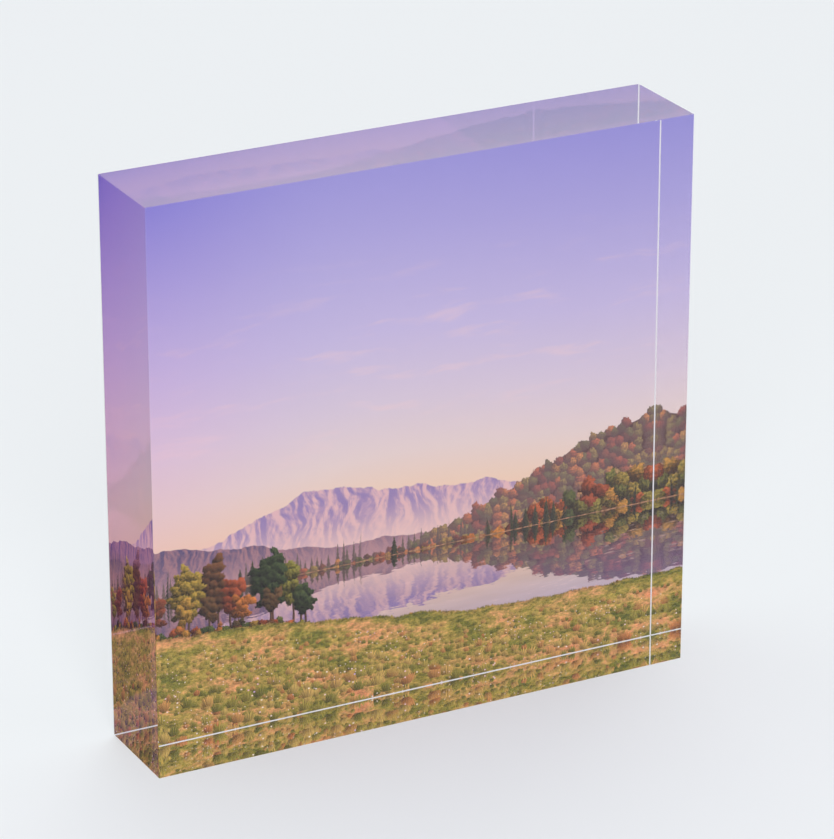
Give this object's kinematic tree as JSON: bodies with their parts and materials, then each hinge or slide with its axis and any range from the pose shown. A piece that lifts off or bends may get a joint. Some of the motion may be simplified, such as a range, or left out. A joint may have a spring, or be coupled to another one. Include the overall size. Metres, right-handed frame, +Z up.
{
  "type": "acrylic photo block",
  "caption": "Free-standing square block of thick clear acrylic with a picture laminated to its back, seen through the block.",
  "frame": {"origin": "on the surface that the block stands on, under the middle of its width and of its whole depth", "axes": "+Z up, +X to the right as the picture is looked at, +Y from the front face to the backing"},
  "size_m": [0.15, 0.028, 0.15],
  "materials": {
    "clear_acrylic": "water-clear cast acrylic, diamond polished on all six faces and on the bevels",
    "clear_adhesive": "optically clear pressure-sensitive film",
    "picture_print": null,
    "white_backing": "white satin film"
  },
  "bodies": {
    "root": {"acrylic_block": "clear_acrylic", "mounting_film": "clear_adhesive", "photo_print": "picture_print", "backing_adhesive": "clear_adhesive", "backing_sheet": "white_backing"}
  },
  "joints": []
}
